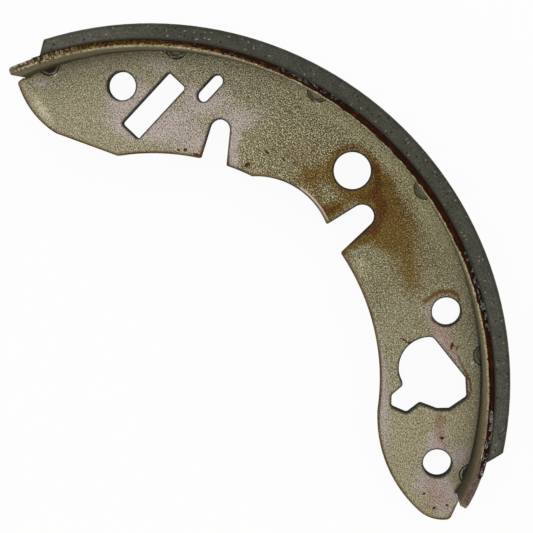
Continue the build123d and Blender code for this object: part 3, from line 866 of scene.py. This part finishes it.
def flakes_mesh(name, side, seed):
    """Thin irregular chips of dried adhesive on the bead.

    Each chip is a plate with six corners at random reaches from its centre, laid along the rim and
    leaning a little. Its rim is paler than its middle, as a painted highlight.
    """
    random = np.random.default_rng(seed)
    runs = [
        (random.uniform(first, last, count), np.full(count, size), np.full(count, pale))
        for first, last, count, size, pale in FLAKE_RUNS
    ]
    distance, size, pale = (np.concatenate(part) for part in zip(*runs))
    count, corner = len(distance), np.arange(FLAKE_CORNERS)
    turn = corner * 2 * math.pi / FLAKE_CORNERS + random.uniform(-0.4, 0.4, (count, FLAKE_CORNERS))
    reach = size[:, None] * random.uniform(0.45, 1.0, (count, FLAKE_CORNERS))
    along = distance[:, None] + reach * np.cos(turn) * FLAKE_STRETCH
    height = random.uniform(*FLAKE_HEIGHTS, (count, 1)) + reach * np.sin(turn) * FLAKE_SQUEEZE
    height = np.clip(height, FLAKE_LOWEST, FILM_RADIUS - RIM_INNER_RADIUS)
    lean = random.uniform(-0.12, 0.12, (count, 1)) * np.cos(turn) + random.uniform(-0.05, 0.0, (count, 1))
    top = RIM_SIDE + np.minimum(FLAKE_PROUD + lean, FLAKE_TOP)
    x, y = rim_line(along, height)
    upper = np.stack([x, y, side * top], axis=-1)
    lower = np.stack([x, y, side * (top - FLAKE_THICKNESS)], axis=-1)
    points = np.concatenate([upper, lower, upper.mean(axis=1, keepdims=True)], axis=1)

    # Each chip's points are its upper corners, its lower corners and its middle
    follow = (corner + 1) % FLAKE_CORNERS
    first = np.arange(count)[:, None] * points.shape[1]
    under = first + FLAKE_CORNERS
    middle = np.broadcast_to(under + FLAKE_CORNERS, (count, FLAKE_CORNERS))
    lids = np.stack([first + corner, first + follow, middle], axis=-1)
    floors = under + corner[::-1]
    walls = np.stack([first + corner, under + corner, under + follow, first + follow], axis=-1)
    # On the front the distance runs clockwise, and the faces' corners with it, so they are taken backwards
    parts = (lids.reshape(-1, 3), floors, walls.reshape(-1, 4))
    faces = [face for part in parts for face in part[:, ::-side].tolist()]
    mesh = bpy.data.meshes.new(name)
    mesh.from_pydata((points.reshape(-1, 3) * MILLIMETRE).tolist(), [], faces)
    tone = np.clip(pale + random.uniform(-0.35, 0.25, count), 0, 1)
    tone = tone[:, None] + np.append(np.full(2 * FLAKE_CORNERS, FLAKE_HIGHLIGHT), -FLAKE_HIGHLIGHT)
    mesh.attributes.new("paleness", "FLOAT", "POINT").data.foreach_set("value", tone.ravel())
    return mesh


def dried_flakes(look):
    """Chips of dried adhesive and lining dust: dull, from maroon through grey-green to pale mauve, with painted
    highlights on their rims and walls.
    """
    material, tree, shader = new_material("dried_adhesive_flakes")
    place = Place(tree)
    paleness = add(tree, "ShaderNodeAttribute", attribute_name="paleness")
    blots = add(tree, "ShaderNodeTexNoise", {"Vector": place.point, "Scale": 1 / 0.6, "Detail": 3.0})
    mixed = {0: blots.outputs["Fac"], 1: 0.9, 2: paleness.outputs["Fac"]}
    mixed = add(tree, "ShaderNodeMath", mixed, operation="MULTIPLY_ADD")
    surface = lay(tree, look.cured, look.dust, mixed, 0.5, 0.95)
    # Pale flakes, paler still at their rims as a painted highlight
    surface = lay(tree, surface, look.flake, mixed, 1.05, 1.5)
    # Painted highlight on the flakes' walls
    surface = lay(tree, surface, look.flake, place.facing, 0.8, 0.3, 0.7)
    tree.links.new(surface.outputs[2], shader.inputs["Base Color"])
    shader.inputs["Roughness"].default_value = 0.6
    shader.inputs["Specular IOR Level"].default_value = 0.3
    return material


class SHOE_OT_finish_web(Operator):
    """Coat the web"""

    bl_idname = "shoe.finish_web"
    bl_label = "Web"

    def execute(self, context):
        dress("web", finish_web(context.scene.shoe_web))
        return {"FINISHED"}


class SHOE_OT_finish_rim(Operator):
    """Coat the rim"""

    bl_idname = "shoe.finish_rim"
    bl_label = "Rim"

    def execute(self, context):
        dress("rim", finish_rim(context.scene.shoe_rim))
        return {"FINISHED"}


class SHOE_OT_finish_adhesive(Operator):
    """Cure the adhesive and squeeze a bead of it out on both sides"""

    bl_idname = "shoe.finish_adhesive"
    bl_label = "Adhesive"

    def execute(self, context):
        look = context.scene.shoe_adhesive
        material = finish_adhesive(look)
        dress("adhesive", material)
        for name, side, seed in (("adhesive_bead_front", 1, 3), ("adhesive_bead_back", -1, 4)):
            show(name, tube_mesh(name, bead(side, seed)), material)
        flaky = dried_flakes(look)
        for name, side, seed in (("adhesive_flakes_front", 1, 5), ("adhesive_flakes_back", -1, 6)):
            show(name, flakes_mesh(name, side, seed), flaky)
        return {"FINISHED"}


class SHOE_OT_finish_lining(Operator):
    """Mould the friction lining"""

    bl_idname = "shoe.finish_lining"
    bl_label = "Lining"

    def execute(self, context):
        dress("lining", finish_lining(context.scene.shoe_lining))
        return {"FINISHED"}


class SHOE_OT_stage(Operator):
    """Set the floor, the lights and the camera"""

    bl_idname = "shoe.stage"
    bl_label = "Stage"

    def execute(self, context):
        stage = context.scene.shoe_stage
        lay_floor(stage)
        light(stage)
        place_camera()
        context.scene.view_settings.view_transform = "Standard"
        return {"FINISHED"}


def seen_directly(tree):
    """1 for rays from the camera, and for those that a glossy or clear surface sends on."""
    rays = add(tree, "ShaderNodeLightPath")
    seen = rays.outputs["Is Camera Ray"]
    for name in ("Is Glossy Ray", "Is Transmission Ray"):
        seen = add(tree, "ShaderNodeMath", {0: seen, 1: rays.outputs[name]}, operation="MAXIMUM")
    return seen


def lay_floor(stage):
    """Pale floor at the shoe's lowest face. It glows white to the camera, less the shade that falls on it."""
    half = stage.floor_size / 2
    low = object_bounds()[0].z
    corners = [(-half, -half, low), (half, -half, low), (half, half, low), (-half, half, low)]
    mesh = bpy.data.meshes.new("floor")
    mesh.from_pydata(corners, [], [(0, 1, 2, 3)])
    material, tree, shader = new_material("matt_white_floor")
    shader.inputs["Base Color"].default_value = linear("#f4f4f2")
    shader.inputs["Roughness"].default_value = 1.0
    shader.inputs["Specular IOR Level"].default_value = 0.0
    glow = add(tree, "ShaderNodeEmission", {"Color": (1, 1, 1, 1), "Strength": 1.0})
    share = add(tree, "ShaderNodeMath", {0: seen_directly(tree), 1: stage.glow}, operation="MULTIPLY")
    mixed = add(tree, "ShaderNodeMixShader", {0: share, 1: shader.outputs[0], 2: glow})
    tree.links.new(mixed.outputs[0], tree.nodes["Material Output"].inputs["Surface"])
    mesh.materials.append(material)
    floor = bpy.data.objects.new("floor", mesh)
    bpy.context.scene.collection.objects.link(floor)
    floor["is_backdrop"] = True


def light(stage):
    """Even light from all round, and one large softbox overhead."""
    world = bpy.data.worlds.new("studio")
    world.use_nodes = True
    bpy.context.scene.world = world
    tree = world.node_tree
    strength = {"Value": seen_directly(tree), "To Min": stage.ambient, "To Max": 1.0}
    strength = add(tree, "ShaderNodeMapRange", strength)
    background = tree.nodes["Background"]
    background.inputs["Color"].default_value = (1, 1, 1, 1)
    tree.links.new(strength.outputs[0], background.inputs["Strength"])
    lamp = bpy.data.lights.new("softbox", "AREA")
    lamp.size = stage.softbox_size
    lamp.energy = stage.softbox_power
    softbox = bpy.data.objects.new("softbox", lamp)
    softbox.location = (*SOFTBOX_ASIDE, stage.softbox_height)
    softbox.rotation_euler = softbox.location.to_track_quat("Z", "Y").to_euler()
    bpy.context.scene.collection.objects.link(softbox)


def place_camera():
    """Long lens almost straight above the web, turned so that the midline runs up to the right."""
    lens = bpy.data.cameras.new("camera")
    lens.lens = CAMERA_LENS
    lens.sensor_width = CAMERA_SENSOR
    camera = bpy.data.objects.new("camera", lens)
    camera.location = [value * MILLIMETRE for value in CAMERA_PLACE]
    camera.rotation_euler = [math.radians(angle) for angle in CAMERA_TURNS]
    bpy.context.scene.collection.objects.link(camera)
    bpy.context.scene.camera = camera


class SHOE_PT_panel(Panel):
    """Lists the shoe's pieces and their finishes"""

    bl_idname = "SHOE_PT_panel"
    bl_label = "Brake shoe"
    bl_space_type = "VIEW_3D"
    bl_region_type = "UI"
    bl_category = "Brake Shoe"

    def draw(self, context):
        for operator, settings, _ in STEPS:
            box = self.layout.box()
            box.operator(operator.bl_idname)
            group = getattr(context.scene, settings)
            for name in group.__annotations__:
                box.prop(group, name)


# Each operator, with the settings that it reads and their class
STEPS = (
    (SHOE_OT_finish_web, "shoe_web", WebFinish),
    (SHOE_OT_finish_rim, "shoe_rim", RimFinish),
    (SHOE_OT_finish_adhesive, "shoe_adhesive", AdhesiveFinish),
    (SHOE_OT_finish_lining, "shoe_lining", LiningFinish),
    (SHOE_OT_stage, "shoe_stage", StageSettings),
)


def register():
    for operator, settings, group in STEPS:
        bpy.utils.register_class(group)
        setattr(bpy.types.Scene, settings, PointerProperty(type=group))
        bpy.utils.register_class(operator)
    bpy.utils.register_class(SHOE_PT_panel)


def unregister():
    bpy.utils.unregister_class(SHOE_PT_panel)
    for operator, settings, group in STEPS:
        bpy.utils.unregister_class(operator)
        delattr(bpy.types.Scene, settings)
        bpy.utils.unregister_class(group)


def main():
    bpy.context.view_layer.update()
    register()
    bpy.ops.shoe.stage()
    bpy.ops.shoe.finish_web()
    bpy.ops.shoe.finish_rim()
    bpy.ops.shoe.finish_adhesive()
    bpy.ops.shoe.finish_lining()


if __name__ == "__main__":
    main()
